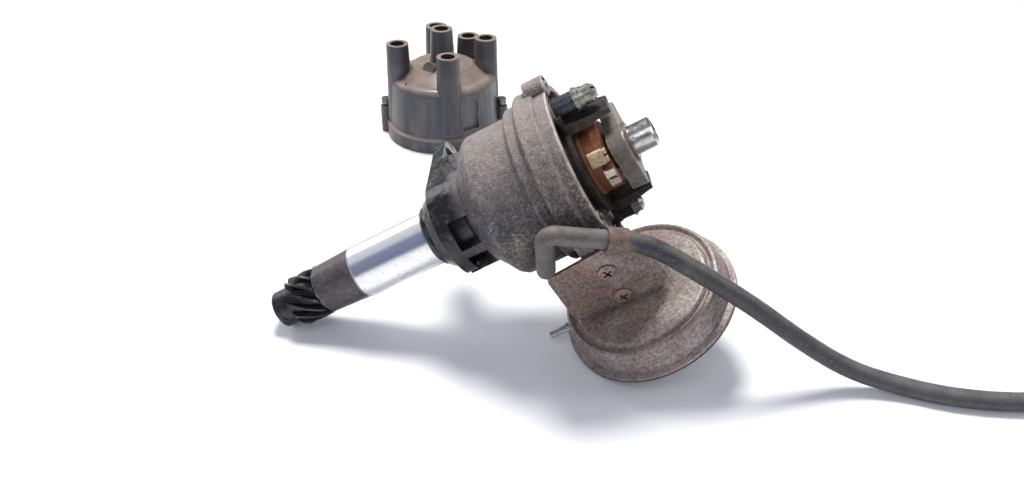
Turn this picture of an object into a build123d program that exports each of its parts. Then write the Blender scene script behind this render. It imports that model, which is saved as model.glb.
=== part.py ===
"""Ignition distributor with vacuum advance, its cap taken off and stood beside it."""

import os
from math import asin, atan2, cos, degrees, hypot, pi, radians, sin, sqrt, tan

from build123d import *

os.makedirs("parts", exist_ok=True)

# ---------------------------------------------------------------- driving dimensions (mm)
# How the distributor lies: gear hub and the rim of the vacuum can touch the bench.
shaft_tilt = 29.07  # rise of the shaft line above the bench, degrees
bench_x = -105.89  # place of the gear end on the bench
bench_y = -102.58

# Fits
running = 0.05  # radial clearance of a turning fit
slip = 0.1  # radial clearance of a fixed or sliding fit
gap = 0.3  # clear space between pieces that pass each other

# Drive gear and lower end; stations run along the shaft from the gear end
hub_r = 9.1
hub_len = 9.3
gear_tip_r = 12.4
gear_root_r = 9.2
gear_len = 15.7
gear_teeth = 12
helix_angle = 33.0
gear_pin_r = 2.0
washer_t = 1.0

# Drive shaft
shaft_r = 6.0
spindle_r = 4.5
spindle_end = 195.0
bush_wall = 2.0
bush_len = 16.0

# Housing, from the gear end upward
tail_r = 11.9
tail_flare = 0.9
pilot_start = 46.9
pilot_r = 13.5
pilot_end = 87.5
oring_section = 3.9
oring_stand = 1.0
collar_r = 16.8
collar_end = 97.0
neck_r = 23.3
neck_end = 113.0
neck_core_r = 17.5
neck_pocket_sweep = 36.0
neck_pocket_starts = (148.0, 196.0, 238.0)
notch_angle = 232.0
shoulder_r = 28.6
shoulder_s = 117.7
bowl_r = 34.5
bowl_start = 123.5
bowl_end = 144.5
bowl_wall = 3.0
floor_t = 3.2
step_r = bowl_r + 2.9
step_end = 151.0
band_r = bowl_r + 6.3
band_end = 160.5
rim_r = bowl_r + 4.5
rim_end = 167.0
ledge_depth = 5.5
rim_wall = 2.5

# Mounting flange on the far side
flange_t = 6.0
arm_radius = 45.0
arm_angle = 12.0
arm_tip_r = 12.0
slot_width = 8.4
slot_sweep = 18.0

# Cap screw ears on the rim
ear_angle = 80.0
ear_circle = rim_r
ear_r = 6.0
ear_len = 9.0
ear_pocket = 3.0
ear_wall = 1.3
cap_screw_r = 2.0

# Governor
governor_s = 127.0
governor_r = 22.0
governor_t = 2.0
pivot_radius = 19.0
pivot_r = 2.0
link_radius = 9.5
link_r = 1.2
weight_t = 5.0
weight_outer = 24.0
weight_inner = 11.0
yoke_r = 14.0
yoke_t = 2.0
spring_r = 1.5
spring_post_r = 1.2
spring_post_radius = 20.0
spring_post_at = 140.0
yoke_post_radius = 11.5
yoke_post_at = 60.0

# Rotor shaft and reluctor
sleeve_r = 7.5
rotor_seat_r = 7.0  # where the rotor arm pushes on
sleeve_end = 201.0
reluctor_s = 182.0
reluctor_t = 7.3
reluctor_r = 19.7
reluctor_tip = 6.0
reluctor_hollow = 1.2
reluctor_collar = 1.2
reluctor_angle = 60.0
end_bore_r = 4.9
end_bore_depth = 5.5

# Plates and pickup
plate_t = 1.5
advance_r = bowl_r - bowl_wall
plate_hub_r = 13.0
plate_hub_wall = 2.0
stator_r = 24.0
stator_t = 2.0
magnet_t = 2.5
magnet_out = 22.0
pole_angle = 95.0
pole_width = 16.0
pole_tip_width = 11.0
pole_t = 2.5
pole_foot_r = 35.0
pole_air_gap = 1.3
coil_r = 16.3
coil_in = 8.5
bobbin_len = 11.0
block_angle = 155.0
block_lift = 3.0
block_depth = 6.0
block_w = 7.0
block_len = 6.5
tab_angle = 178.0
tab_lift = 6.4
bobbin_flange = 1.4
spacer_r = 4.6
upper_spacer_len = 8.0
upper_washer_len = 4.0
upper_head_len = 6.0
lower_spacer_len = 6.6
lower_washer_len = 1.6
lower_head_len = 4.0
screw_head_r = 4.3
pickup_screw_r = 1.6

# Vacuum unit
vac_angle = 103.46  # direction of the rod round the shaft
vac_station = 163.5
vac_offset = 33.0
can_r = 41.9
can_rim_t = 3.6
can_face_r = 34.1
can_face_h = 15.0
can_groove_r = 33.4  # groove round the flat face, then a raised bead
can_groove_h = 12.9
can_bead_r = 37.2
can_bead_h = 14.0
can_waist_r = 39.3
can_waist_h = 5.6
can_back_h = 11.5
shell_t = 1.2
can_neck_r = 4.0
can_neck_h = 2.0
rod_r = 1.6
rod_travel = 6.0
rod_pin_r = 1.5
nipple_r = 1.9
nipple_bore = 1.1
nipple_root_r = 2.5
nipple_len = 9.5  # beyond the can's wall
nipple_h = 8.0
bracket_t = 1.5
bracket_side = bowl_r + 4.0
lug_station = 157.0
lug_half = 6.5
lug_inner = 24.0
lug_top_n = -8.0
screw_above_foot = 6.05
screw_pitch = 17.8
foot_inner = 16.0
foot_len = 36.0
foot_shift = -7.0
bracket_screw_r = 2.0
bracket_head_r = 4.3
bracket_head_h = 1.6
cross_w = 1.1
cross_len = 5.0

# Lead
lead_d = 8.6
boot_r = 4.2
boot_n = -12.5  # place of the lead's entry in the bowl's front wall
boot_s = 134.5
boot_elbow_r = 7.0
boot_bend_r = 4.0
lead_side = bracket_side + 8.5
mouth_n = 9.0
mouth_s = 152.0
clip_t = 0.9
clip_w = 10.0

# Cap
cap_x = 66.8  # from the gear end on the bench
cap_y = 224.3
cap_r = rim_r - 0.6
cap_skirt = 8.5
cap_wall_r = 36.6
cap_shoulder_r = 34.8
cap_shoulder_z = 37.0
cap_dome_r = 20.0
cap_dome_z = 48.0
cap_wall = 3.2
tower_circle = 29.1
tower_top = 63.6
centre_top = 71.8
small_top = 58.3
tower_r = 7.2
tower_taper = 1.3
tower_start = 12.0
tower_bore = 4.6
socket_depth = 8.0
tower_bore_depth = 15.0
tower_turn = -79.0
terminal_r = 3.6
pocket_w = 12.0
pocket_low = 14.0
pocket_rise = 17.0
cap_ear_r = 3.9
cap_ear_h = 18.0
cap_head_r = 3.1
cap_head_h = 3.4
electrode_r = 2.0
electrode_len = 20.0
brush_r = 2.4
cap_screw_len = 19.5

# ---------------------------------------------------------------- frames
tilt = radians(shaft_tilt)
shaft_dir = Vector(cos(tilt), 0, sin(tilt))
away = Vector(0, 1, 0)
upward = Vector(-sin(tilt), 0, cos(tilt))
gear_end = Vector(bench_x, bench_y, hub_r * cos(tilt))
shaft_axis = Axis(gear_end, shaft_dir)


def spoke(angle):
    """Direction square to the shaft: 0 points away from the front, 90 up."""
    return away * cos(radians(angle)) + upward * sin(radians(angle))


def station(s, angle=0.0):
    """Plane square to the shaft at station s, its x along the spoke at the angle."""
    return Plane(origin=gear_end + shaft_dir * s, x_dir=spoke(angle), z_dir=shaft_dir)


def half_section(angle=0.0):
    """Plane through the shaft line: x is the radius along a spoke, y the station."""
    return Plane(origin=gear_end, x_dir=spoke(angle), z_dir=spoke(angle).cross(shaft_dir))


rod_dir = spoke(vac_angle)
side_dir = spoke(vac_angle + 90)


def side_plane(offset):
    """Plane along the shaft and the vacuum rod: x is the station, y runs with the rod."""
    return Plane(origin=gear_end + side_dir * offset, x_dir=shaft_dir, z_dir=side_dir)


def vac_point(n, m, s):
    """Point at n along the rod direction, m to the side and station s."""
    return gear_end + rod_dir * n + side_dir * m + shaft_dir * s


# The can's rim touches the bench, which sets how far the can hangs from the shaft line.
rim_reach = can_r * sqrt(1 - rod_dir.Z**2) + can_rim_t / 2 * rod_dir.Z
hub_height = gear_end.Z + vac_station * shaft_dir.Z + vac_offset * side_dir.Z
vac_drop = (hub_height - rim_reach) / rod_dir.Z
can_centre = vac_point(-vac_drop, vac_offset, vac_station)
can_axis = Axis(can_centre, rod_dir)
can_section = Plane(origin=can_centre, x_dir=shaft_dir, z_dir=side_dir)
foot_n = can_face_h - vac_drop  # level of the can's face, where the bracket's foot lies
lug_foot_n = foot_n + can_neck_h + gap
screw_far = -foot_n - screw_above_foot
screw_near = screw_far - screw_pitch


def can_plane(height):
    """Plane square to the rod, at a height above the can's rim."""
    return Plane(origin=can_centre + rod_dir * height, x_dir=shaft_dir, z_dir=rod_dir)


cap_centre = Vector(bench_x + cap_x, bench_y + cap_y, 0)
cap_frame = Plane(origin=cap_centre, x_dir=(1, 0, 0), z_dir=(0, 0, 1))
cap_axis = Axis(cap_centre, (0, 0, 1))
cap_section = Plane(origin=cap_centre, x_dir=(1, 0, 0), z_dir=(0, -1, 0))

pieces = {}


def turned(name, outline, plane, axis):
    """A piece turned from an outline of (radius, height) points."""
    with BuildPart() as body:
        with BuildSketch(plane):
            with BuildLine():
                Polyline(*outline, close=True)
            make_face()
        revolve(axis=axis)
    pieces[name] = body
    return body


def ring(name, s, length, outer, inner):
    """A plain ring on the shaft line."""
    with BuildPart() as body:
        with BuildSketch(station(s)):
            Circle(outer)
            Circle(inner, mode=Mode.SUBTRACT)
        extrude(amount=length)
    pieces[name] = body
    return body


# ---------------------------------------------------------------- housing
tail_start = hub_len + gear_len + washer_t
groove_end = pilot_end + oring_section
groove_r = pilot_r + oring_stand - oring_section + 2 * slip
bore_r = shaft_r + running + bush_wall
cavity_r = bowl_r - bowl_wall
ledge_s = rim_end - ledge_depth
seat_r = rim_r - rim_wall
floor_s = shoulder_s + floor_t

with BuildPart() as housing:
    with BuildSketch(half_section()):
        with BuildLine():
            Polyline(
                (0, tail_start),
                (tail_r, tail_start),
                (tail_r + tail_flare, pilot_start),
                (pilot_r - 0.6, pilot_start),
                (pilot_r, pilot_start + 0.6),
                (pilot_r, pilot_end),
                (groove_r, pilot_end),
                (groove_r, groove_end),
                (collar_r, groove_end),
                (collar_r + 3.4, collar_end),
                (neck_r, collar_end + 4),
                (neck_r, neck_end),
                (shoulder_r, shoulder_s),
                (bowl_r - 1.5, bowl_start - 2.5),
                (bowl_r, bowl_start),
                (bowl_r, bowl_end),
                (step_r - 0.8, bowl_end + 0.2),
                (step_r, bowl_end + 1.2),
                (step_r, step_end),
                (band_r - 0.8, step_end + 0.2),
                (band_r, step_end + 1.2),
                (band_r - 0.4, band_end),
                (rim_r, band_end + 1),
                (rim_r, rim_end),
                (0, rim_end),
                close=True,
            )
        make_face()
    revolve(axis=shaft_axis)
    # Flange arm on the far side, tangent to the neck, with its adjusting slot
    with BuildSketch(station(collar_end, arm_angle)):
        with BuildLine():
            arm_lean = degrees(asin((neck_r - arm_tip_r) / arm_radius))
            root = (neck_r * sin(radians(arm_lean)), neck_r * cos(radians(arm_lean)))
            tip = (arm_radius + arm_tip_r * sin(radians(arm_lean)), arm_tip_r * cos(radians(arm_lean)))
            Line(root, tip)
            ThreePointArc(tip, (arm_radius + arm_tip_r, 0), (tip[0], -tip[1]))
            Line((tip[0], -tip[1]), (root[0], -root[1]))
            ThreePointArc((root[0], -root[1]), (-neck_r, 0), root)
        make_face()
    extrude(amount=flange_t)
    # Rib from the arm to the bowl
    with BuildSketch(half_section(arm_angle + 8)):
        with BuildLine():
            Polyline(
                (neck_r - 6, collar_end + 2),
                (arm_radius - 4, collar_end + 2),
                (arm_radius - 6, collar_end + 9),
                (bowl_r + 1, bowl_start + 4),
                (neck_r - 6, bowl_start + 4),
                close=True,
            )
        make_face()
    extrude(amount=6, both=True)
    # Two ears that take the cap screws
    for side in (ear_angle, ear_angle + 180):
        with BuildSketch(station(rim_end - ear_len, side)):
            with Locations((ear_circle, 0)):
                Circle(ear_r)
        extrude(amount=ear_len + 1)
    # Lug for the bracket: a deep rib beside the vacuum rod, and a face plate in front of it
    lug_rib = lug_half + vac_station - rod_r - 4 * gap - lug_station
    lug_cover = vac_offset + rod_r + 2 * gap
    for depth, width in ((lug_inner, lug_rib), (lug_cover, 2 * lug_half)):
        with BuildSketch(side_plane(depth)):
            with Locations((lug_station - lug_half + width / 2, (lug_top_n + lug_foot_n) / 2)):
                Rectangle(width, lug_top_n - lug_foot_n)
        extrude(amount=bracket_side - depth)
    # Bowl, plate seat and shaft bore
    with BuildSketch(half_section()):
        with BuildLine():
            Polyline(
                (0, tail_start - 1),
                (bore_r, tail_start - 1),
                (bore_r, floor_s),
                (cavity_r - 3, floor_s),
                (cavity_r, bowl_start + 1),
                (cavity_r, bowl_end),
                (cavity_r + 2, bowl_end + 2),
                (cavity_r + 2, ledge_s),
                (seat_r, ledge_s),
                (seat_r, rim_end + 2),
                (0, rim_end + 2),
                close=True,
            )
        make_face()
    revolve(axis=shaft_axis, mode=Mode.SUBTRACT)
    # Adjusting slot
    with BuildSketch(station(collar_end, arm_angle)):
        with BuildLine():
            slot_arc = CenterArc((0, 0), arm_radius, -slot_sweep / 2, slot_sweep)
        SlotArc(slot_arc, slot_width)
    extrude(amount=flange_t + 4, mode=Mode.SUBTRACT)
    # Pocket round each ear's boss, and the threaded holes
    for side in (ear_angle, ear_angle + 180):
        with BuildSketch(station(rim_end + 1, side)):
            with Locations((ear_circle, 0)):
                Circle(ear_r - ear_wall)
            with Locations((ear_circle - ear_r / 2, 0)):
                Rectangle(ear_r, 2 * (ear_r - ear_wall))
            with Locations((ear_circle, 0)):
                Circle(cap_screw_r + ear_wall, mode=Mode.SUBTRACT)
        extrude(amount=-ear_pocket - 1, mode=Mode.SUBTRACT)
        with BuildSketch(station(rim_end - ear_len + 1, side)):
            with Locations((ear_circle, 0)):
                Circle(cap_screw_r)
        extrude(amount=ear_len + 2, mode=Mode.SUBTRACT)
    # Window in the rim for the vacuum rod
    with BuildSketch(station(ledge_s - 1.2, vac_angle + 90 + 22)):
        with Locations((rim_r, 0)):
            Rectangle(16, 24)
    extrude(amount=ledge_depth + 4, mode=Mode.SUBTRACT)
    # Bracket screw holes
    with BuildSketch(side_plane(bracket_side)):
        with Locations((lug_station, -screw_near), (lug_station, -screw_far)):
            Circle(bracket_screw_r + slip)
    extrude(amount=-9, mode=Mode.SUBTRACT)
    # Lead entry in the bowl's front wall
    with BuildSketch(Plane(origin=vac_point(boot_n, 20, boot_s), x_dir=shaft_dir, z_dir=side_dir)):
        Circle(boot_r + slip)
    extrude(amount=20, mode=Mode.SUBTRACT)
    # Cored pockets between the flange and the bowl, with webs left between them
    for pocket_start in neck_pocket_starts:
        with BuildSketch(half_section(pocket_start)):
            with BuildLine():
                Polyline(
                    (neck_core_r, collar_end + flange_t),
                    (neck_r + 3, collar_end + flange_t),
                    (neck_r + 3, neck_end),
                    (neck_r - 1, neck_end),
                    (neck_core_r, neck_end - 3),
                    close=True,
                )
            make_face()
        revolve(axis=shaft_axis, revolution_arc=neck_pocket_sweep, mode=Mode.SUBTRACT)
    # Open notch in the near edge of the flange
    with BuildSketch(station(collar_end - 4, notch_angle)):
        with Locations((neck_r, 0)):
            SlotOverall(9, 6)
    extrude(amount=flange_t + 4, mode=Mode.SUBTRACT)
pieces["housing"] = housing

with BuildPart() as o_ring:
    with BuildSketch(half_section()):
        with Locations((groove_r + slip + oring_section / 2, (pilot_end + groove_end) / 2)):
            RectangleRounded(oring_section, oring_section - 2 * slip, oring_section / 2 - 2 * slip)
    revolve(axis=shaft_axis)
pieces["o_ring"] = o_ring

# ---------------------------------------------------------------- shaft, bushes and gear
shaft_bore = shaft_r + running
ring("lower_bush", tail_start, bush_len, bore_r, shaft_bore)
ring("upper_bush", floor_s - bush_len, bush_len, bore_r, shaft_bore)
ring("lower_thrust_washer", tail_start - washer_t + slip, washer_t - 2 * slip, tail_r - 1, shaft_r)
ring("upper_thrust_washer", floor_s + slip, governor_s - floor_s - 2 * slip, shaft_r + 4, shaft_r)

turned(
    "drive_shaft",
    [
        (0, 0.6),
        (shaft_r - 0.8, 0.6),
        (shaft_r, 1.4),
        (shaft_r, governor_s + governor_t + gap),
        (spindle_r, governor_s + governor_t + gap),
        (spindle_r, spindle_end - 1),
        (spindle_r - 1, spindle_end),
        (0, spindle_end),
    ],
    half_section(),
    shaft_axis,
)

# The pin holes run through the gear's hub and the shaft, and through the rotor shaft's sleeve.
gear_pin_s = hub_len / 2
sleeve_pin_s = reluctor_s + reluctor_t + 2.6
sleeve_pin_r = 1.0


def cross_plane(s, angle, start):
    """Plane whose normal runs out along a spoke, start millimetres from the shaft line."""
    return Plane(origin=gear_end + shaft_dir * s + spoke(angle) * start, x_dir=shaft_dir, z_dir=spoke(angle))


with BuildPart() as drive_shaft:
    add(pieces["drive_shaft"].part)
    with BuildSketch(cross_plane(gear_pin_s, 180, -shaft_r - 1)):
        Circle(gear_pin_r)
    extrude(amount=2 * shaft_r + 2, mode=Mode.SUBTRACT)
pieces["drive_shaft"] = drive_shaft

# Helical gear: tooth outlines turned step by step along the face, then the hub
twist = degrees(tan(radians(helix_angle)) * gear_len / ((gear_tip_r + gear_root_r) / 2))
gear_steps = 6


def tooth_outline(turn):
    """Closed outline of the gear's teeth, turned by an angle."""
    pitch = 360 / gear_teeth
    shape = [(-0.27, gear_root_r), (-0.10, gear_tip_r), (0.10, gear_tip_r), (0.27, gear_root_r)]
    return [
        (radius * cos(radians(turn + (k + share) * pitch)), radius * sin(radians(turn + (k + share) * pitch)))
        for k in range(gear_teeth)
        for share, radius in shape
    ]


with BuildPart() as drive_gear:
    for step in range(gear_steps + 1):
        with BuildSketch(station(hub_len + gear_len * step / gear_steps)):
            with BuildLine():
                Polyline(*tooth_outline(twist * step / gear_steps), close=True)
            make_face()
    loft(ruled=True)
    with BuildSketch(half_section()):
        with BuildLine():
            Polyline((0, 0), (hub_r - 0.7, 0), (hub_r, 0.7), (hub_r, hub_len), (0, hub_len), close=True)
        make_face()
    revolve(axis=shaft_axis)
    # Chamfer of the tooth ends
    with BuildSketch(half_section()):
        with BuildLine():
            Polyline(
                (gear_tip_r - 1.2, hub_len),
                (gear_tip_r + 1, hub_len),
                (gear_tip_r + 1, hub_len + 2.2),
                close=True,
            )
        make_face()
    revolve(axis=shaft_axis, mode=Mode.SUBTRACT)
    with BuildSketch(station(-1)):
        Circle(shaft_r)
    extrude(amount=hub_len + gear_len + 2, mode=Mode.SUBTRACT)
    with BuildSketch(cross_plane(gear_pin_s, 180, -hub_r - 1)):
        Circle(gear_pin_r)
    extrude(amount=2 * hub_r + 2, mode=Mode.SUBTRACT)
pieces["drive_gear"] = drive_gear

with BuildPart() as gear_pin:
    with BuildSketch(cross_plane(gear_pin_s, 180, -hub_r + 0.6)):
        Circle(gear_pin_r)
    extrude(amount=2 * hub_r - 1.2)
pieces["gear_pin"] = gear_pin

# ---------------------------------------------------------------- governor
weight_s = governor_s + governor_t + gap
link_s = weight_s + weight_t + gap
spring_level = link_s + yoke_t + gap + spring_r
with BuildPart() as governor_plate:
    with BuildSketch(station(governor_s)):
        Circle(governor_r)
        Circle(shaft_r, mode=Mode.SUBTRACT)
        with PolarLocations(pivot_radius - 2, 2, start_angle=90):
            Circle(4.5, mode=Mode.SUBTRACT)
    extrude(amount=governor_t)
    with BuildSketch(station(governor_s)):
        with PolarLocations(pivot_radius, 2):
            Circle(pivot_r)
    extrude(amount=governor_t + gap + weight_t)
    with BuildSketch(station(governor_s, spring_post_at)):
        with PolarLocations(spring_post_radius, 2):
            Circle(spring_post_r)
    extrude(amount=spring_level + spring_r - governor_s)
pieces["governor_plate"] = governor_plate

weight_span = 112.0
weight_lead = 12.0
for name, side in (("governor_weight_a", 0), ("governor_weight_b", 180)):
    with BuildPart() as weight:
        with BuildSketch(station(weight_s, side)):
            with BuildLine():
                outer = CenterArc((0, 0), weight_outer, -weight_lead, weight_span)
                inner = CenterArc((0, 0), weight_inner, -weight_lead, weight_span)
                Line(outer @ 0, inner @ 0)
                Line(outer @ 1, inner @ 1)
            make_face()
            with Locations((link_radius, 0)):
                Circle(link_r + 1.4)
            with Locations((pivot_radius, 0)):
                Circle(pivot_r + running, mode=Mode.SUBTRACT)
        extrude(amount=weight_t)
        with BuildSketch(station(weight_s, side)):
            with Locations((link_radius, 0)):
                Circle(link_r)
        extrude(amount=weight_t + gap + yoke_t)
    pieces[name] = weight

# Two return springs from the plate's posts to the yoke's posts, as closed coils
with BuildPart() as governor_springs:
    for side in (0, 180):
        fixed_end = station(spring_level, spring_post_at + side).from_local_coords(
            Vector(spring_post_radius, 0, 0)
        )
        moving_end = station(spring_level, yoke_post_at + side).from_local_coords(
            Vector(yoke_post_radius, 0, 0)
        )
        spring_run = moving_end - fixed_end
        coil_start = fixed_end + spring_run.normalized() * (spring_post_r + slip)
        with BuildSketch(Plane(origin=coil_start, z_dir=spring_run.normalized())):
            Circle(spring_r)
            Circle(spring_r - 0.6, mode=Mode.SUBTRACT)
        extrude(amount=spring_run.length - 2 * (spring_post_r + slip))
pieces["governor_springs"] = governor_springs

# ---------------------------------------------------------------- rotor shaft and reluctor
with BuildPart() as rotor_shaft:
    with BuildSketch(half_section()):
        with BuildLine():
            Polyline(
                (spindle_r + running, link_s),
                (yoke_r, link_s),
                (yoke_r, link_s + yoke_t),
                (sleeve_r, link_s + yoke_t),
                (sleeve_r, reluctor_s + reluctor_t + reluctor_collar),
                (rotor_seat_r, reluctor_s + reluctor_t + reluctor_collar),
                (rotor_seat_r, sleeve_end - 1),
                (rotor_seat_r - 1, sleeve_end),
                (end_bore_r, sleeve_end),
                (end_bore_r, sleeve_end - end_bore_depth),
                (spindle_r + running, sleeve_end - end_bore_depth),
                close=True,
            )
        make_face()
    revolve(axis=shaft_axis)
    with BuildSketch(station(link_s - 1)):
        with PolarLocations(link_radius, 2):
            SlotCenterToCenter(1.6, 2 * link_r + 2 * gap)
    extrude(amount=yoke_t + 2, mode=Mode.SUBTRACT)
    with BuildSketch(station(link_s, yoke_post_at)):
        with PolarLocations(yoke_post_radius, 2):
            Circle(spring_post_r)
    extrude(amount=spring_level + spring_r - link_s)
    with BuildSketch(cross_plane(sleeve_pin_s, 150, spindle_r)):
        Circle(sleeve_pin_r)
    extrude(amount=4, mode=Mode.SUBTRACT)
pieces["rotor_shaft"] = rotor_shaft

with BuildPart() as rotor_key_pin:
    with BuildSketch(cross_plane(sleeve_pin_s, 150, spindle_r + running)):
        Circle(sleeve_pin_r)
    extrude(amount=rotor_seat_r - spindle_r - running - slip)
pieces["rotor_key_pin"] = rotor_key_pin

with BuildPart() as reluctor:
    with BuildSketch(station(reluctor_s, reluctor_angle)):
        with BuildLine():
            half_tip = degrees(asin(reluctor_tip / 2 / reluctor_r))
            for k in range(4):
                corner = CenterArc((0, 0), reluctor_r, 90 * k - half_tip, 2 * half_tip)
                leave = corner @ 1
                turn = radians(90 * k + 45)
                reach = reluctor_r * cos(radians(45 - half_tip)) - reluctor_hollow
                arrive = leave.rotate(Axis.Z, 90 - 2 * half_tip)
                ThreePointArc(leave, (reach * cos(turn), reach * sin(turn)), arrive)
        make_face()
        Circle(sleeve_r, mode=Mode.SUBTRACT)
    extrude(amount=reluctor_t)
    with BuildSketch(station(reluctor_s + reluctor_t)):
        Circle(sleeve_r + 1.8)
        Circle(sleeve_r, mode=Mode.SUBTRACT)
    extrude(amount=reluctor_collar)
pieces["reluctor"] = reluctor

with BuildPart() as felt_wick:
    with BuildSketch(station(sleeve_end - end_bore_depth)):
        Circle(end_bore_r - slip)
    extrude(amount=3)
pieces["felt_wick"] = felt_wick

# ---------------------------------------------------------------- plates
base_r = seat_r - slip
hub_inner = sleeve_r + 2.0
base_top = ledge_s + plate_t
advance_s = base_top + gap
advance_top = advance_s + plate_t
rod_level = advance_s + plate_t / 2
with BuildPart() as base_plate:
    with BuildSketch(station(ledge_s, vac_angle + 90)):
        Circle(base_r)
        Circle(plate_hub_r - plate_hub_wall, mode=Mode.SUBTRACT)
        with PolarLocations(base_r - 8, 3, start_angle=120):
            Circle(3.5, mode=Mode.SUBTRACT)
    extrude(amount=plate_t)
    with BuildSketch(station(ledge_s)):
        Circle(plate_hub_r)
        Circle(plate_hub_r - plate_hub_wall, mode=Mode.SUBTRACT)
    extrude(amount=plate_t + gap + plate_t + 0.4)
pieces["base_plate"] = base_plate

rod_pin_n = -rod_travel / 2
rod_pin_at = degrees(atan2(rod_pin_n, vac_offset))
pin_circle = hypot(rod_pin_n, vac_offset)
with BuildPart() as advance_plate:
    with BuildSketch(station(advance_s, vac_angle + 90 - rod_pin_at)):
        Circle(advance_r)
        with Locations((pin_circle - 3, 0)):
            Circle(5.4)
        Circle(plate_hub_r + running, mode=Mode.SUBTRACT)
    extrude(amount=plate_t)
    with BuildSketch(station(advance_s, vac_angle + 90 - rod_pin_at)):
        with Locations((pin_circle, 0)):
            Circle(rod_pin_r)
    extrude(amount=plate_t + 3.2)
pieces["advance_plate"] = advance_plate

# ---------------------------------------------------------------- pickup on the advance plate
magnet_s = advance_top
stator_s = magnet_s + magnet_t
pole_s = stator_s + stator_t
coil_s = pole_s
coil_end = coil_s + bobbin_len
ring("magnet", magnet_s, magnet_t, magnet_out, plate_hub_r + gap)
pole_inner = reluctor_r + pole_air_gap
with BuildPart() as stator_plate:
    with BuildSketch(station(stator_s, pole_angle)):
        Circle(stator_r)
        Rectangle(2 * pole_foot_r - 9, pole_width)
        with Locations((pole_foot_r - 4.5, 0), (4.5 - pole_foot_r, 0)):
            Circle(pole_width / 2 - 2.5)
        Circle(coil_in, mode=Mode.SUBTRACT)
        with Locations((pole_foot_r - 4, 0), (4 - pole_foot_r, 0)):
            Circle(pickup_screw_r + slip, mode=Mode.SUBTRACT)
    extrude(amount=stator_t)
pieces["stator_plate"] = stator_plate

pole_top = reluctor_s + reluctor_t - 0.3
pole_foot_in = coil_r + 4.5
for name, side in (("upper_pole", pole_angle), ("lower_pole", pole_angle + 180)):
    with BuildPart() as pole:
        # Side outline: a foot on the stator and an arm that leans in to the reluctor
        with BuildSketch(half_section(side)):
            with BuildLine():
                Polyline(
                    (pole_foot_in, pole_s),
                    (pole_foot_r - 9, pole_s),
                    (pole_inner + pole_t, pole_top),
                    (pole_inner, pole_top),
                    (pole_inner, reluctor_s - 0.6),
                    (pole_foot_in, pole_s + 5),
                    close=True,
                )
            make_face()
        extrude(amount=pole_width / 2, both=True)
        # The arm narrows towards its tip
        with BuildSketch(cross_plane(pole_s, side, pole_inner - 4)):
            for hand in (1, -1):
                with BuildLine():
                    Polyline(
                        (3, hand * pole_width),
                        (3, hand * pole_width / 2),
                        (pole_top - pole_s + 1, hand * pole_tip_width / 2),
                        (pole_top - pole_s + 1, hand * pole_width),
                        close=True,
                    )
                make_face()
        extrude(amount=20, mode=Mode.SUBTRACT)
    pieces[name] = pole

with BuildPart() as pickup_bobbin:
    with BuildSketch(half_section()):
        with BuildLine():
            Polyline(
                (coil_in, coil_s),
                (coil_r, coil_s),
                (coil_r, coil_s + bobbin_flange),
                (coil_in + 1.2, coil_s + bobbin_flange),
                (coil_in + 1.2, coil_s + 6),
                (coil_r - 0.6, coil_s + 6),
                (coil_r - 0.6, coil_end - 1),
                (coil_r - 1.6, coil_end),
                (coil_in, coil_end),
                close=True,
            )
        make_face()
    revolve(axis=shaft_axis)
pieces["pickup_bobbin"] = pickup_bobbin
winding_len = 6 - bobbin_flange
ring("copper_winding", coil_s + bobbin_flange, winding_len, coil_r - 0.3, coil_in + 1.2)

# Nylon terminal block on the front of the coil, and two metal tabs beside it
with BuildPart() as terminal_block:
    with BuildSketch(station(coil_s + block_lift, block_angle)):
        with Locations((coil_r + block_depth / 2 - slip, 0)):
            RectangleRounded(block_depth, block_w, 1.2)
    extrude(amount=block_len)
    with BuildSketch(station(coil_s + block_lift + block_len, block_angle)):
        with Locations((coil_r + block_depth / 2, 1.7), (coil_r + block_depth / 2, -1.7)):
            Circle(1.4)
    extrude(amount=1.6)
pieces["terminal_block"] = terminal_block

with BuildPart() as terminal_tabs:
    for turn, reach in ((tab_angle, 5.2), (tab_angle + 15, 4.2)):
        tab_root = coil_r - 0.6
        with BuildSketch(station(coil_s + tab_lift, turn)):
            with Locations((tab_root + reach / 2, 0)):
                Rectangle(reach, 4.4)
        extrude(amount=0.9)
        with BuildSketch(station(coil_s + tab_lift + 0.9, turn)):
            with Locations((tab_root + reach - 0.45, 0)):
                Rectangle(0.9, 3.4)
        extrude(amount=3.8)
pieces["terminal_tabs"] = terminal_tabs

# Stator screws: spacer, washers and a round head outboard of each pole, the upper stack taller
screw_r_at = pole_foot_r - 4
stacks = (
    (pole_angle, upper_spacer_len, upper_washer_len, upper_head_len),
    (pole_angle + 180, lower_spacer_len, lower_washer_len, lower_head_len),
)
with BuildPart() as screw_spacers:
    for side, spacer, washer, head in stacks:
        with BuildSketch(station(pole_s, side)):
            with Locations((screw_r_at, 0)):
                Circle(spacer_r)
                Circle(pickup_screw_r + slip, mode=Mode.SUBTRACT)
        extrude(amount=spacer)
pieces["screw_spacers"] = screw_spacers

with BuildPart() as screw_washers:
    for side, spacer, washer, head in stacks:
        for level, spread in ((0, 0.9), (washer / 2, 0.2)):
            with BuildSketch(station(pole_s + spacer + level, side)):
                with Locations((screw_r_at, 0)):
                    Circle(spacer_r + spread)
                    Circle(pickup_screw_r + slip, mode=Mode.SUBTRACT)
            extrude(amount=washer / 2)
pieces["screw_washers"] = screw_washers

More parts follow.
